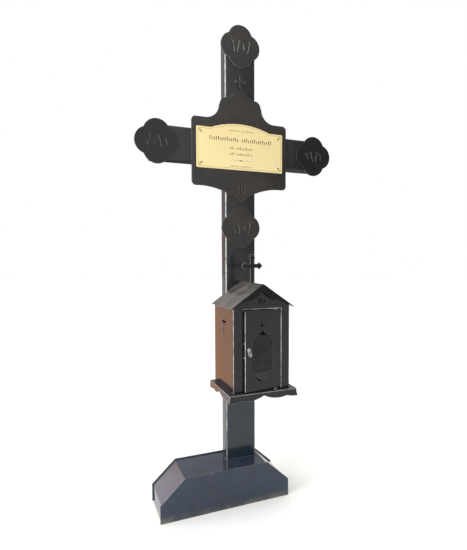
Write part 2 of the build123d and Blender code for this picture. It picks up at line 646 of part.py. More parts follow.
def door_glass():
    """The pane behind the window. Its head stops short, so the cupola above it stays open."""
    half = WINDOW_DOME_R + GLASS_MARGIN
    front = LANTERN_FRONT_Y + LANTERN_SHEET + SEAT_GAP
    pane = bar(WINDOW_X - half, WINDOW_X + half, front, front + GLASS_T,
               WINDOW_FOOT_Z - GLASS_MARGIN, CUPOLA_Z + GLASS_HEAD_MARGIN)
    return on_ajar_door(pane)


def latch_tab():
    """A thin tab with a hole near its end, hung from a rivet through the door."""
    body = SlotOverall(LATCH_L, LATCH_W, rotation=90)
    tab = Pos(0, -LATCH_L / 2 + LATCH_W / 2) * body
    tab -= Circle(RIVET_R + LATCH_RIVET_GAP)
    tab -= Pos(0, -LATCH_L + LATCH_W) * Circle(LATCH_HOLE_R)
    placed = Pos(LATCH_PIVOT_X, LATCH_PIVOT_Z) * Rot(0, 0, LATCH_TILT) * tab
    return on_ajar_door(upright_plate(placed, LATCH_T, LANTERN_FRONT_Y - SEAT_GAP))


def latch_rivet():
    """The rivet that holds the tab: shank, outer head and inner head."""
    front = LANTERN_FRONT_Y - 2 * SEAT_GAP - LATCH_T
    back = LANTERN_FRONT_Y + LANTERN_SHEET
    shank = upright_plate(Circle(RIVET_R), back - front, back)
    outer = upright_plate(Circle(RIVET_HEAD_R), RIVET_HEAD_T, front)
    inner = upright_plate(Circle(RIVET_HEAD_R), RIVET_TAIL_T, back + RIVET_TAIL_T)
    rivet = Pos(LATCH_PIVOT_X, 0, LATCH_PIVOT_Z) * (shank + outer + inner)
    return on_ajar_door(rivet)


def door_pin(low_z, high_z):
    """A hinge pin between two heights."""
    pin = Cylinder(PIN_R, high_z - low_z, align=(Align.CENTER, Align.CENTER, Align.MIN))
    return Pos(PIN_X, PIN_Y, low_z) * pin


def door_washer():
    """The ring on the shelf that carries the door's weight."""
    height = DOOR_GAP_BOTTOM - SEAT_GAP
    ring = Cylinder(WASHER_R, height) - Cylinder(PIN_R + PRESS_GAP, height)
    return Pos(PIN_X, PIN_Y, LANTERN_FLOOR_Z + height / 2) * ring


# ---- cross on the roof ---------------------------------------------------

def roof_cross():
    """A cross with pointed buds, its foot notched over the ridge."""
    foot = ROOF_RIDGE_Z - ROOF_CROSS_BAR
    head = ROOF_RIDGE_Z + ROOF_CROSS_H
    shape = bud_cross(ROOF_CROSS_HALF, foot, head, ROOF_CROSS_BAR, ROOF_CROSS_BUD,
                      ROOF_RIDGE_Z + ROOF_CROSS_ARM)
    plate = upright_plate(shape, PLATE_T, ROOF_CROSS_Y + PLATE_T / 2)
    reach = ROOF_SADDLE
    saddle = make_face(Polyline((-reach, roof_z(reach)), (0, ROOF_RIDGE_Z), (reach, roof_z(reach)),
                                (reach, foot - reach), (-reach, foot - reach), close=True))
    return plate - upright_plate(saddle, 3 * PLATE_T, ROOF_CROSS_Y + 1.5 * PLATE_T)


# ---- write every piece ---------------------------------------------------

medallion_places = {
    "medallion_top": (0, TOP_MEDALLION_Z),
    "medallion_left": (-SIDE_MEDALLION_X, ARM_AXIS_Z),
    "medallion_right": (SIDE_MEDALLION_X, ARM_AXIS_Z),
    "medallion_lower": (0, LOWER_MEDALLION_Z),
}

pieces = {
    "base_front_plate": base_plate(-BASE_DEPTH / 2),
    "base_back_plate": base_plate(BASE_DEPTH / 2 - BASE_SHEET),
    "base_cover": base_cover(),
    "upright": upright(),
    "upright_cap": upright_cap(),
    "arm_left": arm(-1),
    "arm_right": arm(1),
    "arm_cap_left": arm_cap(-1),
    "arm_cap_right": arm_cap(1),
    "name_board": name_board(),
    "name_plaque": upright_plate(plaque_outline(), PLAQUE_T, BOARD_FACE_Y),
    "small_cross": small_cross(),
    "lantern_shell": lantern_shell(),
    "lantern_front": lantern_front(),
    "lantern_roof": lantern_roof(),
    "lantern_barge_board": lantern_barge_board(),
    "lantern_shelf": lantern_shelf(),
    "lantern_apron_front": lantern_apron_front(),
    "lantern_apron_left": lantern_apron_side(-1),
    "lantern_apron_right": lantern_apron_side(1),
    "lantern_door": lantern_door(),
    "door_glass": door_glass(),
    "door_pin_top": door_pin(DOOR_TOP_Z - PIN_REACH, OPENING_TOP_Z + 2 * LANTERN_SHEET),
    "door_pin_bottom": door_pin(LANTERN_FLOOR_Z - LANTERN_SHEET, DOOR_BOTTOM_Z + PIN_REACH),
    "door_washer": door_washer(),
    "latch_tab": latch_tab(),
    "latch_rivet": latch_rivet(),
    "roof_cross": roof_cross(),
}
for name, (x, z) in medallion_places.items():
    pieces[name] = medallion(x, z, STROKE_ROWS[name])

boxes = [piece.bounding_box() for piece in pieces.values()]
front_y = min(box.min.Y for box in boxes)
back_y = max(box.max.Y for box in boxes)
to_origin = Pos(0, -(front_y + back_y) / 2, 0)

os.makedirs("parts", exist_ok=True)
for name, piece in pieces.items():
    export_step(to_origin * piece, f"parts/{name}.step")
print(f"moved back by {-(front_y + back_y) / 2:.3f}, hinge at {PIN_X:.3f}, {PIN_Y:.3f}")
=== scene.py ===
import bmesh
import bpy
import math
import numpy as np
from mathutils import Matrix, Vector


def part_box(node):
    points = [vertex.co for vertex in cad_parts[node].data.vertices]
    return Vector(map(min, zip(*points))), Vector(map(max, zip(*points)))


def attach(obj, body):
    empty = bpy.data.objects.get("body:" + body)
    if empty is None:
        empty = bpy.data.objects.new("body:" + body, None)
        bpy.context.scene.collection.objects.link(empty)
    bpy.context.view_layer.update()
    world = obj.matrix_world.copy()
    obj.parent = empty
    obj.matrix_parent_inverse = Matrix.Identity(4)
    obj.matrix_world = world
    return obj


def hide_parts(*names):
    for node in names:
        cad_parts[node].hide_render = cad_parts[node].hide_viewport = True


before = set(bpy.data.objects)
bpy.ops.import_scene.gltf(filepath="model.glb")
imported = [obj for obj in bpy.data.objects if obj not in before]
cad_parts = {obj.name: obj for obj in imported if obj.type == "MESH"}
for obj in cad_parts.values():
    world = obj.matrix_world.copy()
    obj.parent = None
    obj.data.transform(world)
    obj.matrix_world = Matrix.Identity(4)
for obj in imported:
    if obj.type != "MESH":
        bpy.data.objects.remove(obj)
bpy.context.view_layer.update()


# ---- folded base ---------------------------------------------------------
# A hollow steel foot: two flat plates with sloping shoulders, and between
# them one strip folded over end, slope, top, slope and end. The strip sits a
# little inside the plates' edges and is seam welded, then powder coated.

BASE_MIDDLE_X = -0.070
STRIP_HALF = 0.202           # half length of the strip at the ground
STRIP_END_H = 0.05223        # where the upright ends turn into the slopes
STRIP_TOP_HALF = 0.13095
STRIP_SHEET = 0.0020
STRIP_BEND = 0.0035          # outside radius of the four folds


def node(tree, kind, links=(), **settings):
    """Adds one shader node. Settings are its properties; links are pairs of an input and what feeds it."""
    made = tree.nodes.new(kind)
    for name, value in settings.items():
        setattr(made, name, value)
    for socket, source in links:
        if isinstance(source, bpy.types.NodeSocket):
            tree.links.new(source, made.inputs[socket])
        else:
            made.inputs[socket].default_value = source
    return made


def ranged(tree, source, low, high, to_low, to_high):
    """A value stretched in a straight line from one range to another, and held at its ends."""
    return node(tree, "ShaderNodeMapRange", [(0, source), (1, low), (2, high),
                                             (3, to_low), (4, to_high)]).outputs[0]


def powder_coat(name, colour, lift, gloss, peel, dust, low_painted_reflection=None, low_from=0.0, low_to=0.0, mottle=9.0,
                shine=0.5):
    """Black powder coat. Colour drifts between two near-blacks over a hand's width, the skin has a fine orange peel
    and finer grit, roughness drifts with the colour, and dull dust lies where it faces up. A low colour, if there is
    one, takes over between two heights above the ground; it is a painted reflection."""
    mat = bpy.data.materials.new(name)
    mat.use_nodes = True
    tree = mat.node_tree
    skin_shader = tree.nodes["Principled BSDF"]
    place = node(tree, "ShaderNodeTexCoord").outputs["Object"]
    cloud = node(tree, "ShaderNodeTexNoise", [("Vector", place), ("Scale", mottle), ("Detail", 5.0),
                                              ("Roughness", 0.62)]).outputs["Fac"]
    orange = node(tree, "ShaderNodeTexNoise", [("Vector", place), ("Scale", 380.0), ("Detail", 1.0),
                                               ("Roughness", 0.5)]).outputs["Fac"]
    grit = node(tree, "ShaderNodeTexNoise", [("Vector", place), ("Scale", 1500.0), ("Detail", 2.0),
                                             ("Roughness", 0.7)]).outputs["Fac"]
    specks = node(tree, "ShaderNodeTexVoronoi", [("Vector", place), ("Scale", 260.0)]).outputs["Distance"]
    facing = node(tree, "ShaderNodeSeparateXYZ", [(0, node(tree, "ShaderNodeNewGeometry").outputs["Normal"])])
    height = node(tree, "ShaderNodeSeparateXYZ", [(0, place)]).outputs[2]
    drift = ranged(tree, cloud, 0.38, 0.64, 0.0, 1.0)
    dark = tuple(c * 0.82 for c in colour) + (1.0,)
    light = tuple(c * lift for c in colour) + (1.0,)
    paint = node(tree, "ShaderNodeMix", [(0, drift), (6, dark), (7, light)], data_type="RGBA").outputs[2]
    if low_painted_reflection:
        paint = node(tree, "ShaderNodeMix", [(0, ranged(tree, height, low_from, low_to, 0.0, 1.0)), (6, paint),
                                             (7, low_painted_reflection + (1.0,))], data_type="RGBA").outputs[2]
    gritted = node(tree, "ShaderNodeMix", [(0, ranged(tree, grit, 0.56, 0.78, 0.0, 0.5)), (6, paint),
                                           (7, (0.05, 0.049, 0.047, 1.0))], data_type="RGBA").outputs[2]
    spot = ranged(tree, specks, 0.05, 0.14, 0.55, 0.0)
    few = node(tree, "ShaderNodeMath", [(0, spot), (1, ranged(tree, cloud, 0.52, 0.66, 0.0, 1.0))],
               operation="MULTIPLY").outputs[0]
    spotted = node(tree, "ShaderNodeMix", [(0, few), (6, gritted), (7, (0.16, 0.155, 0.145, 1.0))],
                   data_type="RGBA").outputs[2]
    settled = node(tree, "ShaderNodeMath", [(0, ranged(tree, facing.outputs[2], 0.45, 1.0, 0.0, dust)),
                                            (1, ranged(tree, cloud, 0.30, 0.62, 0.35, 1.0))],
                   operation="MULTIPLY").outputs[0]
    dusty = node(tree, "ShaderNodeMix", [(0, settled), (6, spotted), (7, (0.30, 0.275, 0.25, 1.0))],
                 data_type="RGBA").outputs[2]
    splash = node(tree, "ShaderNodeMath", [(0, ranged(tree, height, 0.022, 0.0, 0.0, 0.85)),
                                           (1, ranged(tree, cloud, 0.40, 0.62, 0.10, 1.0))],
                  operation="MULTIPLY").outputs[0]
    grimy = node(tree, "ShaderNodeMix", [(0, splash), (6, dusty), (7, (0.135, 0.130, 0.085, 1.0))],
                 data_type="RGBA").outputs[2]
    rough = node(tree, "ShaderNodeMath", [(0, ranged(tree, cloud, 0.30, 0.70, gloss * 0.8, gloss * 1.25)),
                                          (1, settled)], operation="ADD").outputs[0]
    fine = node(tree, "ShaderNodeMath", [(0, grit), (1, 0.22)], operation="MULTIPLY").outputs[0]
    relief = node(tree, "ShaderNodeMath", [(0, orange), (1, fine)], operation="ADD").outputs[0]
    bump = node(tree, "ShaderNodeBump", [("Strength", peel), ("Distance", 0.00012), ("Height", relief)])
    tree.links.new(grimy, skin_shader.inputs["Base Color"])
    tree.links.new(rough, skin_shader.inputs["Roughness"])
    tree.links.new(bump.outputs["Normal"], skin_shader.inputs["Normal"])
    skin_shader.inputs["Specular IOR Level"].default_value = shine
    return mat


def edge_wear_and_highlight(name, colour, worn_and_lit, bare):
    """A rounded edge whose coat is partly rubbed thin and partly painted as a highlight: black drifting to a pale
    grey in patches a few centimetres long, the pale grey standing for light caught on the edge, with a part-metallic
    sheen, so it shines where it faces a light and stays dark where it doesn't."""
    mat = bpy.data.materials.new(name)
    mat.use_nodes = True
    tree = mat.node_tree
    skin_shader = tree.nodes["Principled BSDF"]
    place = node(tree, "ShaderNodeTexCoord").outputs["Object"]
    patch = node(tree, "ShaderNodeTexNoise", [("Vector", place), ("Scale", 34.0), ("Detail", 5.0),
                                              ("Roughness", 0.7)]).outputs["Fac"]
    rub = ranged(tree, patch, 0.36, 0.60, 0.0, 1.0)
    shade = node(tree, "ShaderNodeMix", [(0, rub), (6, colour + (1.0,)), (7, worn_and_lit + (1.0,))],
                 data_type="RGBA").outputs[2]
    tree.links.new(shade, skin_shader.inputs["Base Color"])
    tree.links.new(ranged(tree, patch, 0.3, 0.7, 0.24, 0.38), skin_shader.inputs["Roughness"])
    skin_shader.inputs["Metallic"].default_value = bare
    return mat


def softened(cad_node, width, coat, edge, body="cross", steps=2, sunk=None, corners=False):
    """A copy of a CAD piece, its loose triangles joined into flat faces, with every corner sharper than thirty
    degrees rounded to the given width. The rounding takes the edge material, worn and painted with a highlight;
    faces that look forward from over a millimetre behind the front take the sunk material, painted as shade; a
    tube's rounded corners may take the edge material, as a painted highlight, between 18 and 72 degrees of their
    turn; and the CAD node is hidden."""
    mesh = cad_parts[cad_node].data.copy()
    work = bmesh.new()
    work.from_mesh(mesh)
    bmesh.ops.remove_doubles(work, verts=work.verts, dist=2e-6)
    bmesh.ops.dissolve_limit(work, angle_limit=math.radians(0.4), verts=work.verts, edges=work.edges)
    work.to_mesh(mesh)
    work.free()
    if "custom_normal" in mesh.attributes:
        mesh.attributes.remove(mesh.attributes["custom_normal"])
    mesh.materials.clear()
    mesh.materials.append(coat)
    mesh.materials.append(edge)
    finish = np.zeros(len(mesh.polygons), np.int32)
    middle, facing = np.zeros((2, len(mesh.polygons) * 3), np.float32)
    mesh.polygons.foreach_get("center", middle)
    mesh.polygons.foreach_get("normal", facing)
    if corners:
        finish[np.abs(facing.reshape(-1, 3)).max(1) < math.cos(math.radians(18))] = 1
    if sunk:
        mesh.materials.append(sunk)
        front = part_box(cad_node)[0].y + 0.001
        finish[(middle[1::3] > front) & (facing[1::3] < -0.9)] = 2
    mesh.polygons.foreach_set("material_index", finish)
    mesh.shade_smooth()
    mesh.set_sharp_from_angle(angle=math.radians(30))
    piece = bpy.data.objects.new(cad_node + "_piece", mesh)
    bpy.context.scene.collection.objects.link(piece)
    soft = piece.modifiers.new("rounded edges", "BEVEL")
    soft.width = width
    soft.segments = steps
    soft.limit_method = "ANGLE"
    soft.angle_limit = math.radians(30)
    soft.harden_normals = True
    soft.material = 1
    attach(piece, body)
    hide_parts(cad_node)
    return piece


def dressed(piece, coat, way):
    """Gives the faces of a piece that look along a way, within 25 degrees, a coat of their own."""
    mesh = piece.data
    mesh.materials.append(coat)
    facing = np.zeros(len(mesh.polygons) * 3, np.float32)
    finish = np.zeros(len(mesh.polygons), np.int32)
    mesh.polygons.foreach_get("normal", facing)
    mesh.polygons.foreach_get("material_index", finish)
    finish[facing.reshape(-1, 3) @ np.array(way) > math.cos(math.radians(25))] = len(mesh.materials) - 1
    mesh.polygons.foreach_set("material_index", finish)
    return piece


def skin(name, rings, coat, looped=False, crease=35.0):
    """A closed skin over a batch of ringed bars. Rings has the shape bar, ring, point, place: each point joins
    the next round its ring and the same one on the next ring, and flat faces close a bar's two ends, or the
    last ring joins the first on a looped bar."""
    rings = np.asarray(rings, float)
    if rings.ndim == 3:
        rings = rings[None]
    bars, count, round_ = rings.shape[:3]
    b, i, j = np.meshgrid(np.arange(bars), np.arange(count if looped else count - 1), np.arange(round_),
                          indexing="ij")
    start = b * count * round_
    on, up = (j + 1) % round_, ((i + 1) % count) * round_
    quads = np.stack([start + i * round_ + j, start + i * round_ + on, start + up + on, start + up + j], -1)
    faces = quads.reshape(-1, 4).tolist()
    if not looped:
        first = np.arange(bars)[:, None] * count * round_ + np.arange(round_)[None]
        faces += first[:, ::-1].tolist() + (first + (count - 1) * round_).tolist()
    mesh = bpy.data.meshes.new(name)
    mesh.from_pydata(rings.reshape(-1, 3).tolist(), [], faces)
    work = bmesh.new()
    work.from_mesh(mesh)
    bmesh.ops.recalc_face_normals(work, faces=work.faces)
    work.to_mesh(mesh)
    work.free()
    mesh.materials.append(coat)
    mesh.shade_smooth()
    mesh.set_sharp_from_angle(angle=math.radians(crease))
    piece = bpy.data.objects.new(name, mesh)
    bpy.context.scene.collection.objects.link(piece)
    return piece


def bent_line(corners, radius, steps=7):
    """A line through corners with each inner corner turned into an arc: the arc starts radius times the tangent
    of half the turn before the corner, and its centre lies one radius square to the line."""
    p = np.asarray(corners, float)
    a = p[1:-1] - p[:-2]
    b = p[2:] - p[1:-1]
    a /= np.linalg.norm(a, axis=1)[:, None]
    b /= np.linalg.norm(b, axis=1)[:, None]
    turn = np.arctan2(a[:, 0] * b[:, 1] - a[:, 1] * b[:, 0], (a * b).sum(1))
    start = p[1:-1] - a * (radius * np.tan(np.abs(turn) / 2))[:, None]
    square = np.stack([-a[:, 1], a[:, 0]], 1) * np.sign(turn)[:, None]
    centre = start + radius * square
    angle = turn[:, None] * np.linspace(0, 1, steps)[None]
    arm = (start - centre)[:, None]
    arc = centre[:, None] + np.stack([arm[..., 0] * np.cos(angle) - arm[..., 1] * np.sin(angle),
                                      arm[..., 0] * np.sin(angle) + arm[..., 1] * np.cos(angle)], -1)
    return np.concatenate([p[:1], arc.reshape(-1, 2), p[-1:]])


def folded_sheet(name, line, sheet, front, back, coat):
    """A sheet bent along a line drawn in X and Z and as deep as given in Y. The inner side is the line moved
    square to itself by the sheet's thickness, to the right of the way the line runs."""
    way = np.gradient(line, axis=0)
    way /= np.linalg.norm(way, axis=1)[:, None]
    before = np.vstack([way[:1], np.diff(line, axis=0)])
    after = np.vstack([np.diff(line, axis=0), way[-1:]])
    before /= np.linalg.norm(before, axis=1)[:, None]
    after /= np.linalg.norm(after, axis=1)[:, None]
    mitre = before + after
    mitre /= np.linalg.norm(mitre, axis=1)[:, None]
    reach = sheet / (mitre * after).sum(1)
    inner = line + np.stack([mitre[:, 1], -mitre[:, 0]], 1) * reach[:, None]
    corner = [(line, front), (line, back), (inner, back), (inner, front)]
    rings = np.stack([np.stack([s[:, 0], np.full(len(s), y), s[:, 1]], 1) for s, y in corner], 1)
    return skin(name, rings, coat)


def weld_bead(name, path, radius, coat, pitch=0.0022, looped=False, ripple=0.10):
    """A half-sunk weld: circles about every point of a path, square to it, whose radius swells and shrinks with
    the distance run, once in every pitch, and drifts slowly by a few hundredths."""
    path = np.asarray(path, float)
    ends = np.vstack([path, path[:1]]) if looped else path
    length = np.concatenate([[0], np.cumsum(np.linalg.norm(np.diff(ends, axis=0), axis=1))])
    run = np.linspace(0, length[-1], max(int(length[-1] / pitch * 3), 8), endpoint=not looped)
    line = np.stack([np.interp(run, length, ends[:, k]) for k in range(3)], 1)
    way = np.roll(line, -1, 0) - np.roll(line, 1, 0) if looped else np.gradient(line, axis=0)
    way /= np.linalg.norm(way, axis=1)[:, None]
    side = np.cross(way, np.array([0.31, 0.52, 0.79]))
    side /= np.linalg.norm(side, axis=1)[:, None]
    over = np.cross(way, side)
    size = radius * (1 + ripple * np.sin(2 * np.pi * run / pitch) + 0.05 * np.sin(run * 190 + 1.3))
    angle = np.linspace(0, 2 * np.pi, 10, endpoint=False)
    ring = side[:, None] * np.cos(angle)[None, :, None] + over[:, None] * np.sin(angle)[None, :, None]
    return skin(name, line[:, None] + ring * size[:, None, None], coat, looped, crease=80)


# the blue in the base's black is a painted reflection of the pale room above it
BASE_BLACK_PAINTED_BLUE_REFLECTION = (0.0130, 0.0225, 0.0420)
# the pale edge colour below is partly wear and partly a painted highlight on the rounded edges
EDGE_BLACK = (0.035, 0.036, 0.038)
EDGE_WORN_AND_HIGHLIGHT = (0.20, 0.195, 0.185)
base_painted_reflection_coat = powder_coat("base_powder_coat_painted_blue", BASE_BLACK_PAINTED_BLUE_REFLECTION, 1.25, 0.11, 0.10, 0.05)
base_edge = edge_wear_and_highlight("base_rubbed_edge", EDGE_BLACK, EDGE_WORN_AND_HIGHLIGHT, 0.5)

for plate in ("base_front_plate", "base_back_plate"):
    softened(plate, 0.0007, base_painted_reflection_coat, base_edge, steps=3)

strip_low, strip_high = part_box("base_cover")
strip_top = strip_high.z
strip_corners = [(-STRIP_HALF, 0.0), (-STRIP_HALF, STRIP_END_H), (-STRIP_TOP_HALF, strip_top),
                 (STRIP_TOP_HALF, strip_top), (STRIP_HALF, STRIP_END_H), (STRIP_HALF, 0.0)]
strip_line = bent_line(strip_corners, STRIP_BEND) + np.array([BASE_MIDDLE_X, 0.0])
strip = folded_sheet("base_strip", strip_line, STRIP_SHEET, strip_low.y, strip_high.y, base_painted_reflection_coat)
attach(strip, "cross")
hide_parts("base_cover")

for place, y in (("front", strip_low.y), ("back", strip_high.y)):
    seam = np.stack([strip_line[:, 0], np.full(len(strip_line), y), strip_line[:, 1]], 1)
    bead = weld_bead("base_seam_" + place, seam, 0.0011, base_painted_reflection_coat, pitch=0.012, ripple=0.0)
    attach(bead, "cross")


# ---- upright and arms ----------------------------------------------------
# Stock box tube with rounded corners: one tall length standing on the base
# and two short arms butted to its sides. Flat caps close the open ends. A
# rippled weld runs round the foot and round each arm where it meets the side.

TUBE_CORNER = 0.005
FOOT_WELD = 0.0024
ARM_WELD = 0.0020
CROSS_BLACK = (0.0095, 0.0098, 0.0105)
# below 0.44 m the upright's black turns bluish, fully so under 0.30 m: a painted reflection of the base's top
FOOT_PAINTED_REFLECTION = (0.0100, 0.0185, 0.0275)
cross_coat_painted_foot_reflection = powder_coat("cross_powder_coat_painted_foot_reflection", CROSS_BLACK, 1.45, 0.20, 0.35, 0.07, FOOT_PAINTED_REFLECTION, 0.44, 0.30)
cross_edge = edge_wear_and_highlight("cross_rubbed_edge", (0.12, 0.118, 0.114), (0.30, 0.29, 0.28), 0.8)

# the arms' and caps' black is a lighter, less glossy copy of the same paint, set for their brightness: painted light
# and shade
ARM_BLACK_PAINTED_LIGHT = (0.0170, 0.0165, 0.0165)
arm_painted_light_coat = powder_coat("arm_powder_coat_painted_light", ARM_BLACK_PAINTED_LIGHT, 1.40, 0.24, 0.40, 0.07, shine=0.34)
# the arms' downward faces take a darker, duller copy of the black coat: painted shade on their undersides
underside_painted_shade = powder_coat("underside_painted_shade_coat", (0.0090, 0.0088, 0.0085), 1.1, 0.62, 0.8, 0.0, shine=0.04)
arm_edge = edge_wear_and_highlight("arm_rubbed_edge", EDGE_BLACK, EDGE_WORN_AND_HIGHLIGHT, 0.2)
# the upright's rounded corners take the pale edge colour too: a painted highlight along each corner
softened("upright", 0.0004, cross_coat_painted_foot_reflection, cross_edge, corners=True)
for tube in ("arm_left", "arm_right"):
    dressed(softened(tube, 0.0004, arm_painted_light_coat, arm_edge), underside_painted_shade, (0.0, 0.0, -1.0))
for cap in ("upright_cap", "arm_cap_left", "arm_cap_right"):
    softened(cap, 0.0009, arm_painted_light_coat, arm_edge, steps=3)


def rounded_box_line(wide, deep, corner, steps=6):
    """The outline of a tube: four quarter circles of the corner radius, one at each corner of the box that is
    a corner radius smaller on every side."""
    quarter = np.linspace(0, np.pi / 2, steps)
    angle = (np.arange(4)[:, None] * np.pi / 2 + quarter[None])
    sign = np.array([(1, 1), (-1, 1), (-1, -1), (1, -1)], float)
    middle = sign * np.array([wide / 2 - corner, deep / 2 - corner])
    turn = np.stack([np.cos(angle), np.sin(angle)], -1)
    return (middle[:, None] + corner * turn).reshape(-1, 2)


upright_low, upright_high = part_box("upright")
tube_middle_y = (upright_low.y + upright_high.y) / 2
tube_line = rounded_box_line(upright_high.x - upright_low.x, upright_high.y - upright_low.y, TUBE_CORNER)
foot_path = np.stack([tube_line[:, 0], tube_line[:, 1] + tube_middle_y,
                      np.full(len(tube_line), upright_low.z)], 1)
foot_weld = weld_bead("upright_foot_weld", foot_path, FOOT_WELD, base_painted_reflection_coat, looped=True)
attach(foot_weld, "cross")

for arm, x in (("arm_left", upright_low.x), ("arm_right", upright_high.x)):
    arm_low, arm_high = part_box(arm)
    arm_middle_z = (arm_low.z + arm_high.z) / 2
    path = np.stack([np.full(len(tube_line), x), tube_line[:, 1] * 0.985 + tube_middle_y,
                     tube_line[:, 0] + arm_middle_z], 1)
    weld = weld_bead(arm + "_weld", path, ARM_WELD, cross_coat_painted_foot_reflection, looped=True)
    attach(weld, "cross")


# ---- name board ----------------------------------------------------------
# A thick plate cut to a domed, shouldered outline with a pointed foot, and
# tack welded to the crossing. Three slim slots are cut through above the point.

BOARD_EDGE = 0.0008
# the board's black is a warmer, lighter copy of the same paint: painted warm light
BOARD_BLACK_PAINTED_WARM_LIGHT = (0.0170, 0.0148, 0.0132)
board_painted_warm_light_coat = powder_coat("board_powder_coat_painted_warm_light", BOARD_BLACK_PAINTED_WARM_LIGHT, 1.30, 0.26, 0.55, 0.06)
board_edge = edge_wear_and_highlight("board_rubbed_edge", (0.07, 0.068, 0.065), (0.26, 0.25, 0.24), 0.6)
board = softened("name_board", BOARD_EDGE, board_painted_warm_light_coat, board_edge, steps=3)


# ---- gold plaque ---------------------------------------------------------
# A thin sheet of gold-coloured brushed metal with an arched top, bonded to the
# board. Its border, corner scrolls, divider and rows of marks are engraved and
# filled with dark brown lacquer, and stand a hair proud of the sheet.

PLAQUE_GOLD = (0.86, 0.720, 0.380)
PLAQUE_SHADE = (0.80, 0.650, 0.310)
LACQUER = (0.055, 0.040, 0.022)
MARK_PROUD = 0.00008
MARK_SUNK = 0.00030


def brushed_gold(name):
    """Gold-coloured metal rolled lengthwise: noise stretched forty times along X tints it and gives it a fine
    grain, under a broad drift between two golds and a faint satin."""
    mat = bpy.data.materials.new(name)
    mat.use_nodes = True
    tree = mat.node_tree
    face = tree.nodes["Principled BSDF"]
    place = node(tree, "ShaderNodeTexCoord").outputs["Object"]
    drawn = node(tree, "ShaderNodeMapping", [("Vector", place), ("Scale", (35.0, 35.0, 1400.0))])
    lines = node(tree, "ShaderNodeTexNoise", [("Vector", drawn.outputs[0]), ("Scale", 1.0), ("Detail", 3.0),
                                              ("Roughness", 0.65)]).outputs["Fac"]
    broad = node(tree, "ShaderNodeTexNoise", [("Vector", place), ("Scale", 5.0), ("Detail", 2.0)]).outputs["Fac"]
    drift = ranged(tree, broad, 0.38, 0.62, 0.0, 0.55)
    gold = node(tree, "ShaderNodeMix", [(0, drift), (6, PLAQUE_GOLD + (1.0,)), (7, PLAQUE_SHADE + (1.0,))],
                data_type="RGBA").outputs[2]
    grain = node(tree, "ShaderNodeMix", [(0, ranged(tree, lines, 0.35, 0.65, 0.0, 0.16)), (6, gold),
                                         (7, (0.72, 0.57, 0.25, 1.0))], data_type="RGBA").outputs[2]
    bump = node(tree, "ShaderNodeBump", [("Strength", 0.06), ("Distance", 0.0002), ("Height", lines)])
    tree.links.new(grain, face.inputs["Base Color"])
    tree.links.new(ranged(tree, lines, 0.3, 0.7, 0.33, 0.47), face.inputs["Roughness"])
    tree.links.new(bump.outputs["Normal"], face.inputs["Normal"])
    face.inputs["Metallic"].default_value = 0.45
    return mat


def lacquer_fill(name):
    """Dark brown filling, slightly uneven in colour and sheen from one mark to the next."""
    mat = bpy.data.materials.new(name)
    mat.use_nodes = True
    tree = mat.node_tree
    face = tree.nodes["Principled BSDF"]
    place = node(tree, "ShaderNodeTexCoord").outputs["Object"]
    patch = node(tree, "ShaderNodeTexNoise", [("Vector", place), ("Scale", 160.0), ("Detail", 2.0)]).outputs["Fac"]
    shade = node(tree, "ShaderNodeMix", [(0, ranged(tree, patch, 0.35, 0.65, 0.0, 1.0)), (6, LACQUER + (1.0,)),
                                         (7, (0.13, 0.10, 0.06, 1.0))], data_type="RGBA").outputs[2]
    tree.links.new(shade, face.inputs["Base Color"])
    tree.links.new(ranged(tree, patch, 0.3, 0.7, 0.30, 0.55), face.inputs["Roughness"])
    return mat


gold = brushed_gold("plaque_gold")
lacquer = lacquer_fill("plaque_lacquer")
plaque = softened("name_plaque", 0.0004, gold, gold)
plaque_low, plaque_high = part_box("name_plaque")
plaque_half = (plaque_high.x - plaque_low.x) / 2
PLAQUE_SIDE_H = 0.1215
PLAQUE_ARCH_HALF = 0.097
arch_rise = plaque_high.z - plaque_low.z - PLAQUE_SIDE_H
arch_radius = (PLAQUE_ARCH_HALF ** 2 + arch_rise ** 2) / (2 * arch_rise)
arch_centre_z = plaque_high.z - arch_radius


def engraved(name, lines, widths):
    """Filled marks: each line is a run of points in X and Z on the plaque's face, and its band is the line
    moved by half its width to either side, as thick as the filling."""
    lines, widths = np.asarray(lines, float), np.asarray(widths, float)
    way = np.gradient(lines, axis=1)
    way /= np.maximum(np.linalg.norm(way, axis=2), 1e-12)[..., None]
    half = np.stack([-way[..., 1], way[..., 0]], -1) * widths[..., None] / 2
    front = np.full(lines.shape[:2], plaque_low.y - MARK_PROUD)
    back = np.full(lines.shape[:2], plaque_low.y + MARK_SUNK)
    corner = [(lines + half, front), (lines - half, front), (lines - half, back), (lines + half, back)]
    rings = np.stack([np.stack([s[..., 0], y, s[..., 1]], -1) for s, y in corner], 2)
    piece = skin(name, rings, lacquer)
    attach(piece, "cross")
    return piece


# border: a thin line that keeps the same distance from the plaque's edge all round
BORDER_IN = 0.0050
BORDER_W = 0.0007
side_top = plaque_low.z + PLAQUE_SIDE_H - BORDER_IN
inner_arch = arch_radius - BORDER_IN
spring_x = math.sqrt(inner_arch ** 2 - (side_top - arch_centre_z) ** 2)
spring = math.atan2(spring_x, side_top - arch_centre_z)
sweep = np.linspace(-spring, spring, 41)
arch_line = np.stack([inner_arch * np.sin(sweep), arch_centre_z + inner_arch * np.cos(sweep)], 1)
edge_x, foot_z = plaque_half - BORDER_IN, plaque_low.z + BORDER_IN
border = np.concatenate([[(0.0, foot_z), (-edge_x, foot_z), (-edge_x, side_top)], arch_line,
                         [(edge_x, side_top), (edge_x, foot_z), (0.0, foot_z)]])
length = np.concatenate([[0], np.cumsum(np.linalg.norm(np.diff(border, axis=0), axis=1))])
engraved("plaque_border_arch", arch_line[None], np.full((1, len(arch_line)), BORDER_W))
straight = np.linspace(0, 1, 3)[None, :, None]
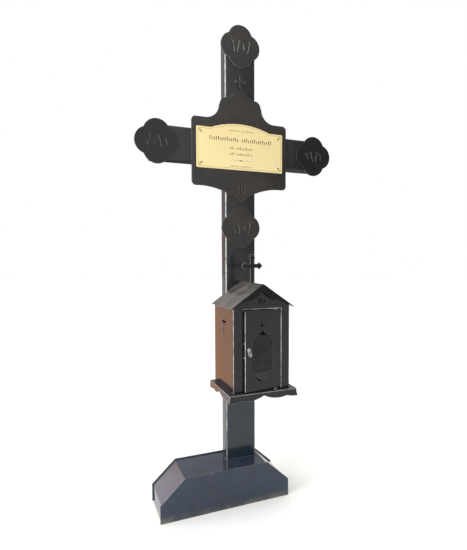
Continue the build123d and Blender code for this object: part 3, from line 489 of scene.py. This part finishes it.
border_ends = np.array([[(-edge_x, foot_z), (edge_x, foot_z)], [(-edge_x, foot_z), (-edge_x, side_top)],
                        [(edge_x, foot_z), (edge_x, side_top)], [(-edge_x, side_top), (-spring_x, side_top)],
                        [(spring_x, side_top), (edge_x, side_top)]])
border_lines = border_ends[:, :1] * (1 - straight) + border_ends[:, 1:] * straight
engraved("plaque_border", border_lines, np.full(border_lines.shape[:2], BORDER_W))

# corner scrolls: a pair of closing spirals mirrored about the corner's diagonal, and a leaf between them
SCROLL_IN = 0.0130
SCROLL_R = 0.0052
t = np.linspace(0, 1, 26)
turned = 0.35 + 1.55 * np.pi * t
coil = SCROLL_R * (1 - 0.78 * t)
spiral = np.stack([coil * np.cos(turned) + 0.0030, coil * np.sin(turned) - 0.0012], 1)
leaf = np.stack([-0.0065 + 0.0085 * t, -0.0065 + 0.0085 * t], 1)
scroll = np.stack([spiral, spiral[:, ::-1], leaf])
spiral_w = 0.0013 * (1 - 0.55 * t)
scroll_w = np.stack([spiral_w, spiral_w, 0.0024 * np.sin(np.pi * t) + 0.0002])
corner_sign = np.array([(-1, -1), (1, -1), (-1, 1), (1, 1)], float)
corner_place = np.array([[x * (plaque_half - SCROLL_IN), plaque_low.z + (SCROLL_IN if z < 0 else
                                                                       PLAQUE_SIDE_H - SCROLL_IN)]
                         for x, z in corner_sign])
scrolls = corner_place[:, None, None] + scroll[None] * -corner_sign[:, None, None] * -1.0
engraved("plaque_corner_scrolls", scrolls.reshape(-1, len(t), 2), np.tile(scroll_w, (4, 1)))

# rows of marks: leaning chisel strokes, each wide at the head and narrow at the foot
MARK_ROWS = [  # middle height above the plaque's foot, row height, from, to, strokes, stroke width, gap after
    (0.1185, 0.0065, -0.0400, 0.0440, 22, 0.0011, 9),
    (0.0910, 0.0125, -0.1040, 0.1040, 29, 0.0030, 13),
    (0.0655, 0.0085, -0.0370, 0.0380, 13, 0.0020, 2),
    (0.0480, 0.0085, -0.0370, 0.0380, 13, 0.0020, 2),
    (0.0110, 0.0055, -0.0370, 0.0370, 20, 0.0011, 8),
]
strokes, stroke_w = [], []
for row, (middle, tall, x0, x1, count, wide, gap_after) in enumerate(MARK_ROWS):
    k = np.arange(count)
    pitch = (x1 - x0) / (count + 1.2)
    x = x0 + pitch * (k + 0.5 + 1.2 * (k > gap_after))
    lean = np.full(count, 0.14)   # all the same way, so that no two strokes meet in a letter-like corner
    share = 0.62 + 0.38 * ((k * 5 + row * 3) % 4) / 3
    s = np.linspace(0, 1, 6)
    up = plaque_low.z + middle - tall / 2 + tall * share[:, None] * s[None]
    across = x[:, None] + lean[:, None] * tall * (s[None] - 0.5)
    strokes.append(np.stack([across, up], -1))
    stroke_w.append(np.broadcast_to(wide * (0.55 + 0.65 * s), across.shape))
engraved("plaque_marks", np.concatenate(strokes), np.concatenate(stroke_w))

# divider: a hair line with a swelling towards a small lozenge in its middle
DIVIDER_Z = 0.0290
t = np.linspace(-1, 1, 41)
divider = np.stack([0.034 * t, np.full(len(t), plaque_low.z + DIVIDER_Z)], 1)[None]
divider_w = (0.0005 + 0.0012 * np.exp(-(t / 0.22) ** 2) + 0.0030 * np.clip(1 - np.abs(t) / 0.08, 0, 1))[None]
engraved("plaque_divider", divider, divider_w)


# ---- medallions ----------------------------------------------------------
# Four lobed plates, one at each end of the cross and one below the board, tack welded to the tubes. Each has a row
# of leaning grooves pressed into its face; their floors are painted darker as shade, and their edges paler as a
# painted highlight.

# the groove floors take a darker, duller coat: painted shade in the recesses
groove_painted_shade = powder_coat("groove_powder_coat_painted_shade", (0.0045, 0.0043, 0.0042), 1.2, 0.55, 0.6, 0.0)
groove_edge = edge_wear_and_highlight("groove_rubbed_edge", (0.11, 0.108, 0.105), (0.34, 0.33, 0.32), 0.7)
# the side medallions take a darker, less glossy copy of the black: painted shade
side_painted_shade_coat = powder_coat("side_medallion_coat_painted_shade", (0.0120, 0.0115, 0.0112), 1.15, 0.28, 0.60, 0.03, shine=0.27)
for medallion, coat in (("medallion_top", board_painted_warm_light_coat), ("medallion_left", side_painted_shade_coat),
                        ("medallion_right", side_painted_shade_coat), ("medallion_lower", board_painted_warm_light_coat)):
    softened(medallion, 0.0010, coat, groove_edge, steps=3, sunk=groove_painted_shade)


# ---- small cross above the board -----------------------------------------
# A little plate cross with budded arms, spot welded to the upright's face.

softened("small_cross", 0.0007, board_painted_warm_light_coat, board_edge, steps=3)


# ---- lantern box ---------------------------------------------------------
# A candle lantern of thin folded sheet: back and sides in one, a front with
# the doorway and three slots in its gable, and a shelf with scalloped aprons.

# the blue in the lantern's black is a painted reflection of the pale room
LANTERN_BLACK_PAINTED_BLUE_REFLECTION = (0.0052, 0.0056, 0.0085)
lantern_painted_reflection_coat = powder_coat("lantern_powder_coat_painted_blue", LANTERN_BLACK_PAINTED_BLUE_REFLECTION, 1.25, 0.15, 0.22, 0.08, shine=0.36)
lantern_edge = edge_wear_and_highlight("lantern_rubbed_edge", (0.20, 0.20, 0.205), (0.52, 0.51, 0.50), 0.8)
for sheet_piece in ("lantern_front", "lantern_shell", "lantern_shelf", "lantern_apron_front",
                    "lantern_apron_left", "lantern_apron_right"):
    softened(sheet_piece, 0.00045, lantern_painted_reflection_coat, lantern_edge)

# the sheet is hemmed over at the doorway and at the left corner, and the hems are coloured pale grey as a painted
# highlight on those returns
HEM_R = 0.0009
HEM_IN = 0.0006              # how far a hem's middle lies inside the corner that it rounds
HEM_POINTS = 9
HEM_PITCH = 0.020            # a hem has no ripple, so this only sets how many rings it has
DOORWAY_LEFT, DOORWAY_RIGHT = -0.0585, 0.0605
DOORWAY_ABOVE_DOOR = 0.0030
front_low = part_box("lantern_front")[0]
tray_low, tray_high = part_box("lantern_door")
doorway_top = tray_high.z + DOORWAY_ABOVE_DOOR
hem_painted_highlight = edge_wear_and_highlight("hem_rubbed_edge", (0.12, 0.12, 0.12), (0.52, 0.51, 0.50), 0.25)
hem_y = front_low.y + HEM_IN


def hem(name, start, end, body):
    """A straight hem between two points, standing slightly proud of the corner that it rounds, coloured pale as a
    painted highlight.
    """
    bead = weld_bead(name, np.linspace(start, end, HEM_POINTS), HEM_R, hem_painted_highlight, pitch=HEM_PITCH,
                     ripple=0.0)
    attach(bead, body)


hem("jamb_hem", (DOORWAY_RIGHT + HEM_IN, hem_y, tray_low.z), (DOORWAY_RIGHT + HEM_IN, hem_y, doorway_top), "cross")
hem("head_hem", (DOORWAY_LEFT, hem_y, doorway_top + HEM_IN), (DOORWAY_RIGHT, hem_y, doorway_top + HEM_IN), "cross")
hem("corner_hem", (front_low.x + HEM_IN, hem_y, front_low.z + HEM_R),
    (front_low.x + HEM_IN, hem_y, doorway_top), "cross")


# ---- lantern roof --------------------------------------------------------
# One sheet folded along the ridge, with a shaped barge board welded under its front edge. It carries more dust than
# anything else on the cross, and its coat has strong light and dark patches painted in as reflections.

RIDGE_BEND = 0.0030
ROOF_SHEET = 0.0015
ROOF_DROP = ROOF_SHEET * 1.21    # the sheet's thickness measured straight down through a slope
# the roof's strong light and dark patches are painted reflections; its heavier dust is dust
roof_coat_dust_and_painted_reflections = powder_coat("roof_powder_coat_painted_reflections", (0.012, 0.0118, 0.0115), 4.2, 0.24, 1.0, 0.20, mottle=24.0)
roof_low, roof_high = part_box("lantern_roof")
roof_corners = [(roof_low.x, roof_low.z + ROOF_DROP), ((roof_low.x + roof_high.x) / 2, roof_high.z),
                (roof_high.x, roof_low.z + ROOF_DROP)]
roof_line = bent_line(roof_corners, RIDGE_BEND)
roof = folded_sheet("lantern_roof_sheet", roof_line, ROOF_SHEET, roof_low.y, roof_high.y, roof_coat_dust_and_painted_reflections)
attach(roof, "cross")
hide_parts("lantern_roof")
# the roof sheet's front edge and the barge board take a darker, duller copy of the coat: painted shade along the
# lantern's eaves
front_painted_shade_coat = powder_coat("front_edge_powder_coat_painted_shade", (0.0040, 0.0040, 0.0048), 1.1, 0.42, 0.5, 0.02, shine=0.16)
dressed(roof, front_painted_shade_coat, (0.0, -1.0, 0.0))
softened("lantern_barge_board", 0.00080, front_painted_shade_coat, lantern_edge)


# ---- lantern door --------------------------------------------------------
# A shallow folded tray on two hinge pins, with a chapel-shaped window, a pane
# behind it, a half-moon tongue bent out for air, and a turning latch tab.

AJAR = math.radians(6.0)
door_out = np.array([math.sin(AJAR), -math.cos(AJAR), 0.0])   # square to the door's face, outward
door_along = np.array([math.cos(AJAR), math.sin(AJAR), 0.0])  # from the latch edge to the hinge edge
DOOR_TO_LATCH = 0.103        # from the hinge pins to the door's free edge
TRAY_HALF = 0.006            # half of the tray's depth: the pins stand in its middle
pin_low, pin_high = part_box("door_pin_top")
hinge = np.array([(pin_low.x + pin_high.x) / 2, (pin_low.y + pin_high.y) / 2, 0.0])
free_edge = hinge - door_along * (DOOR_TO_LATCH - HEM_IN) + door_out * (TRAY_HALF - HEM_IN)
softened("lantern_door", 0.00045, lantern_painted_reflection_coat, lantern_edge, body="door")
hem("door_hem", free_edge + np.array([0.0, 0.0, tray_low.z + HEM_R]),
    free_edge + np.array([0.0, 0.0, tray_high.z - HEM_R]), "door")


def clear_pane(name):
    """Plain window glass, a little grey, with a thin film of soot whose haze comes and goes in patches a few
    centimetres across and thickens towards the foot."""
    mat = bpy.data.materials.new(name)
    mat.use_nodes = True
    tree = mat.node_tree
    glass = tree.nodes["Principled BSDF"]
    place = node(tree, "ShaderNodeTexCoord").outputs["Object"]
    patch = node(tree, "ShaderNodeTexNoise", [("Vector", place), ("Scale", 26.0), ("Detail", 2.0)]).outputs["Fac"]
    height = node(tree, "ShaderNodeSeparateXYZ", [(0, place)]).outputs[2]
    low = ranged(tree, height, 0.530, 0.440, -0.10, 0.22)
    film = ranged(tree, node(tree, "ShaderNodeMath", [(0, patch), (1, low)], operation="ADD").outputs[0],
                  0.50, 0.60, 0.0, 1.0)
    clear = node(tree, "ShaderNodeMix", [(0, film), (6, (0.22, 0.225, 0.22, 1.0)), (7, (0.46, 0.47, 0.49, 1.0))],
                 data_type="RGBA").outputs[2]
    tree.links.new(clear, glass.inputs["Base Color"])
    tree.links.new(ranged(tree, film, 0.0, 1.0, 0.03, 0.30), glass.inputs["Roughness"])
    glass.inputs["IOR"].default_value = 1.35
    glass.inputs["Transmission Weight"].default_value = 1.0
    glass.inputs["Specular IOR Level"].default_value = 0.08
    return mat


def bright_zinc(name, dark, bright):
    """Zinc plating: cells of slightly different brightness a millimetre or two across, with fine scratches in
    the roughness."""
    mat = bpy.data.materials.new(name)
    mat.use_nodes = True
    tree = mat.node_tree
    metal = tree.nodes["Principled BSDF"]
    place = node(tree, "ShaderNodeTexCoord").outputs["Object"]
    spangle = node(tree, "ShaderNodeTexVoronoi", [("Vector", place), ("Scale", 620.0)]).outputs["Color"]
    shade = node(tree, "ShaderNodeMix", [(0, spangle), (6, (dark,) * 3 + (1.0,)), (7, (bright,) * 3 + (1.0,))],
                 data_type="RGBA").outputs[2]
    scratch = node(tree, "ShaderNodeTexNoise", [("Vector", place), ("Scale", 900.0), ("Detail", 4.0)]).outputs["Fac"]
    tree.links.new(shade, metal.inputs["Base Color"])
    tree.links.new(ranged(tree, scratch, 0.3, 0.7, 0.20, 0.42), metal.inputs["Roughness"])
    metal.inputs["Metallic"].default_value = 1.0
    return mat


pane = softened("door_glass", 0.0004, clear_pane("pane_glass"), clear_pane("pane_glass_edge"), body="door")
zinc = bright_zinc("bright_zinc", 0.34, 0.60)
# the latch tab's face takes a darker copy of the zinc as painted shade, and its rounded rim a brighter copy as a
# painted highlight
softened("latch_tab", 0.0006, bright_zinc("zinc_face_painted_shade", 0.13, 0.24), bright_zinc("zinc_rim_painted_highlight", 0.60, 0.85),
                 body="latch")


def turned_piece(name, profile, centre, axis, coat, steps=28):
    """A piece turned about an axis: every pair of radius and height on the profile is carried round a full
    circle, and the first and last pairs are closed with a flat face."""
    axis = np.asarray(axis, float) / np.linalg.norm(axis)
    side = np.cross(axis, (0.0, 0.0, 1.0) if abs(axis[2]) < 0.9 else (1.0, 0.0, 0.0))
    side /= np.linalg.norm(side)
    over = np.cross(axis, side)
    radius, height = np.asarray(profile, float).T
    angle = np.linspace(0, 2 * np.pi, steps, endpoint=False)
    ring = side[None] * np.cos(angle)[:, None] + over[None] * np.sin(angle)[:, None]
    rings = np.asarray(centre, float) + ring[None] * radius[:, None, None] + axis * height[:, None, None]
    return skin(name, rings, coat)


rivet_low, rivet_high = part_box("latch_rivet")
rivet_middle = (np.array(rivet_low) + np.array(rivet_high)) / 2
dome = np.linspace(0.0, np.pi / 2, 7)
RIVET_HEAD_R = 0.0034
RIVET_HALF_L = 0.0034
rivet_profile = ([(0.0003, -RIVET_HALF_L), (0.0028, -RIVET_HALF_L), (0.0034, -RIVET_HALF_L + 0.0004),
                  (0.0034, -RIVET_HALF_L + 0.0012), (0.0018, -RIVET_HALF_L + 0.0012),
                  (0.0018, RIVET_HALF_L - 0.0014)]
                 + [(RIVET_HEAD_R * math.cos(a) + 0.0001, RIVET_HALF_L - 0.0014 + 0.0014 * math.sin(a))
                    for a in dome])
rivet = turned_piece("latch_rivet_piece", rivet_profile, rivet_middle, door_out, zinc)
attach(rivet, "door")
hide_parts("latch_rivet")

for pin in ("door_pin_top", "door_pin_bottom", "door_washer"):
    softened(pin, 0.0005, zinc, zinc)

# two blind rivets through the door's folded edge hold the catch inside it
CATCH_Z = (0.5220, 0.4825)
CATCH_HEAD_R = 0.0024
CATCH_HEAD_H = 0.0010
for number, z in enumerate(CATCH_Z, 1):
    centre = hinge - door_along * DOOR_TO_LATCH + np.array([0.0, 0.0, z])
    profile = [(0.0014, -0.0012), (0.0014, 0.0), (CATCH_HEAD_R, 0.0001)] + [
        (CATCH_HEAD_R * math.cos(a) + 0.00005, 0.0001 + CATCH_HEAD_H * math.sin(a)) for a in dome[1:]]
    catch = turned_piece(f"catch_rivet_{number}", profile, centre, -door_along, zinc, steps=20)
    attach(catch, "door")


# ---- roof cross ----------------------------------------------------------
# A thin plate cross with pointed buds, its foot notched over the ridge.

softened("roof_cross", 0.0005, lantern_painted_reflection_coat, lantern_edge)


# ---- studio --------------------------------------------------------------
# A pale floor, a soft room of graded light, two large lamps and a glowing
# card. The camera stands to the left of the cross, about halfway up.

floor_r = np.array([0.0, 0.5, 1.0, 2.0, 4.0, 8.0, 16.0])
around = np.linspace(0, 2 * np.pi, 64, endpoint=False)
disc = np.stack([floor_r[1:, None] * np.cos(around), floor_r[1:, None] * np.sin(around),
                 np.zeros((len(floor_r) - 1, 64))], -1).reshape(-1, 3)
i, j = np.meshgrid(np.arange(len(floor_r) - 2), np.arange(64), indexing="ij")
bands = np.stack([i * 64 + j, (i + 1) * 64 + j, (i + 1) * 64 + (j + 1) % 64, i * 64 + (j + 1) % 64], -1)
floor_mesh = bpy.data.meshes.new("floor")
floor_mesh.from_pydata(disc.tolist(), [], bands.reshape(-1, 4).tolist() + [list(range(64))])
floor = bpy.data.objects.new("floor", floor_mesh)
bpy.context.scene.collection.objects.link(floor)
floor_mat = bpy.data.materials.new("pale_floor")
floor_mat.use_nodes = True
floor_tree = floor_mat.node_tree
floor_face = floor_tree.nodes["Principled BSDF"]
floor_place = node(floor_tree, "ShaderNodeTexCoord").outputs["Object"]
floor_cloud = node(floor_tree, "ShaderNodeTexNoise", [("Vector", floor_place), ("Scale", 3.0), ("Detail", 3.0)])
floor_tone = node(floor_tree, "ShaderNodeMix", [(0, floor_cloud.outputs["Fac"]), (6, (0.84, 0.84, 0.83, 1.0)),
                                                (7, (0.80, 0.80, 0.80, 1.0))], data_type="RGBA").outputs[2]
floor_tree.links.new(floor_tone, floor_face.inputs["Base Color"])
floor_face.inputs["Roughness"].default_value = 0.7
floor_mesh.materials.append(floor_mat)


def surroundings(name):
    """White where the camera looks. What lights the object and shows in its gloss is a big soft room: a gentle
    ceiling, a front wall that falls off from left to right, a bright window on the left, and a dimmer back
    that turns warm low down."""
    room = bpy.data.worlds.new(name)
    room.use_nodes = True
    tree = room.node_tree
    seen = tree.nodes["Background"]
    seen.inputs["Color"].default_value = (1.0, 1.0, 1.0, 1.0)
    seen.inputs["Strength"].default_value = 1.0
    way = node(tree, "ShaderNodeSeparateXYZ", [(0, node(tree, "ShaderNodeTexCoord").outputs["Generated"])])
    x, y, z = way.outputs
    right = ranged(tree, x, FRONT_BRIGHT_X, FRONT_DARK_X, FRONT_BRIGHT, FRONT_DARK)
    front = ranged(tree, y, -0.25, 0.25, 1.0, 0.0)
    wall = node(tree, "ShaderNodeMix", [(0, front), (2, BACK_GLOW), (3, right)], data_type="FLOAT").outputs[0]
    window = ranged(tree, x, -0.60, -0.85, 0.0, LEFT_WINDOW)
    ceiling = ranged(tree, z, 0.50, 0.85, 0.0, CEILING)
    added = node(tree, "ShaderNodeMath", [(0, window), (1, ceiling)], operation="ADD").outputs[0]
    glow = node(tree, "ShaderNodeMath", [(0, wall), (1, added)], operation="ADD").outputs[0]
    low = ranged(tree, z, 0.05, 0.40, 1.0, 0.0)
    behind = node(tree, "ShaderNodeMath", [(0, low), (1, ranged(tree, y, 0.3, 0.8, 0.0, 1.0))],
                  operation="MULTIPLY").outputs[0]
    tint = node(tree, "ShaderNodeMix", [(0, behind), (6, (1.0, 0.99, 0.975, 1.0)), (7, (1.0, 0.74, 0.63, 1.0))],
                data_type="RGBA").outputs[2]
    lit = node(tree, "ShaderNodeBackground", [("Color", tint), ("Strength", glow)])
    looks = node(tree, "ShaderNodeLightPath").outputs["Is Camera Ray"]
    both = node(tree, "ShaderNodeMixShader", [(0, looks), (1, lit.outputs[0]), (2, seen.outputs[0])])
    tree.links.new(both.outputs[0], tree.nodes["World Output"].inputs["Surface"])
    return room


FRONT_BRIGHT_X, FRONT_DARK_X = 0.20, 0.50
FRONT_BRIGHT, FRONT_DARK = 1.25, 0.06
BACK_GLOW = 0.62
LEFT_WINDOW = 2.2
CEILING = 0.80
bpy.context.scene.world = surroundings("soft_room")


def soft_lamp(name, place, towards, size, glow, colour):
    """A soft rectangular lamp at a place, turned to face a point. Glow is the brightness of its face, so its
    power is the glow times pi times its area."""
    lamp = bpy.data.lights.new(name, "AREA")
    lamp.shape = "RECTANGLE"
    lamp.size, lamp.size_y = size
    lamp.energy = glow * math.pi * size[0] * size[1]
    lamp.color = colour
    stand = bpy.data.objects.new(name, lamp)
    way = np.asarray(towards, float) - np.asarray(place, float)
    way /= np.linalg.norm(way)
    side = np.cross(way, (0.0, 0.0, 1.0))
    side /= np.linalg.norm(side)
    over = np.cross(side, way)
    stand.matrix_world = Matrix([[side[k], over[k], -way[k], place[k]] for k in range(3)] + [[0, 0, 0, 1]])
    stand.visible_camera = False
    bpy.context.scene.collection.objects.link(stand)
    return stand


soft_lamp("key_lamp", (-1.5, -2.6, 2.7), (0.0, 0.05, 0.9), (1.2, 0.9), 2.0, (1.0, 0.97, 0.93))
soft_lamp("left_strip", (-3.0, -1.0, 1.25), (0.0, 0.0, 0.85), (0.70, 2.3), 9.0, (1.0, 0.99, 0.98))

# a glowing card behind on the left, which only shows in the gloss of what faces left: orange where the
# lantern's wall mirrors it and pale where the base's slope does
CARD_ORANGE, CARD_PALE = (1.55, 0.80, 0.46, 1.0), (2.3, 1.95, 1.95, 1.0)
card_way = np.array([0.93, 0.36, 0.0])
card_middle = np.array([-0.46, 0.98, 0.0])
CARD_FROM, CARD_TO = -0.55, 0.38     # along the card's way, from its middle
CARD_FOOT, CARD_HEAD = 0.02, 0.50
PALE_FROM_X, PALE_TO_X = -0.58, -0.66
card_rim = np.array([card_middle + card_way * a + np.array([0.0, 0.0, z])
                     for a, z in ((CARD_FROM, CARD_FOOT), (CARD_TO, CARD_FOOT),
                                  (CARD_TO, CARD_HEAD), (CARD_FROM, CARD_HEAD))])
card_mesh = bpy.data.meshes.new("card_behind_left")
card_mesh.from_pydata(card_rim.tolist(), [], [[0, 1, 2, 3]])
card = bpy.data.objects.new("card_behind_left", card_mesh)
bpy.context.scene.collection.objects.link(card)
card_mat = bpy.data.materials.new("card_glow")
card_mat.use_nodes = True
card_tree = card_mat.node_tree
card_face = card_tree.nodes["Principled BSDF"]
card_x = node(card_tree, "ShaderNodeSeparateXYZ", [(0, node(card_tree, "ShaderNodeTexCoord").outputs["Object"])])
card_side = ranged(card_tree, card_x.outputs[0], PALE_FROM_X, PALE_TO_X, 0.0, 1.0)
card_colour = node(card_tree, "ShaderNodeMix", [(0, card_side), (6, CARD_ORANGE), (7, CARD_PALE)],
                   data_type="RGBA").outputs[2]
card_tree.links.new(card_colour, card_face.inputs["Emission Color"])
card_face.inputs["Emission Strength"].default_value = 1.0
card_face.inputs["Base Color"].default_value = (0.0, 0.0, 0.0, 1.0)
card_mesh.materials.append(card_mat)
card.visible_camera = card.visible_shadow = card.visible_diffuse = False

# the camera turns to the right, dips a little and is rolled by a fraction of a degree
CAMERA_PLACE = (-0.4915, -1.1426, 0.7553)
TURN, DIP, ROLL = math.radians(21.316), math.radians(2.911), math.radians(-0.219)
LONG_SIDE = 550.0            # of the image, in the units that the focal length is given in
FOCAL = 410.68
RISE = 5.3                   # how far the image is shifted upwards
flat_way = np.array([math.sin(TURN), math.cos(TURN), 0.0])
flat_side = np.array([math.cos(TURN), -math.sin(TURN), 0.0])
sight = flat_way * math.cos(DIP) - np.array([0.0, 0.0, math.sin(DIP)])
over_head = flat_way * math.sin(DIP) + np.array([0.0, 0.0, math.cos(DIP)])
side_way = flat_side * math.cos(ROLL) + over_head * math.sin(ROLL)
up_way = -flat_side * math.sin(ROLL) + over_head * math.cos(ROLL)
eye = bpy.data.cameras.new("camera")
eye.sensor_width = 36.0
eye.lens = 36.0 * FOCAL / LONG_SIDE
eye.shift_y = RISE / LONG_SIDE
eye.clip_start, eye.clip_end = 0.05, 60.0
camera = bpy.data.objects.new("camera", eye)
camera.matrix_world = Matrix([[side_way[k], up_way[k], -sight[k], CAMERA_PLACE[k]] for k in range(3)]
                             + [[0, 0, 0, 1]])
bpy.context.scene.collection.objects.link(camera)
bpy.context.scene.camera = camera
bpy.context.scene.view_settings.view_transform = "Standard"
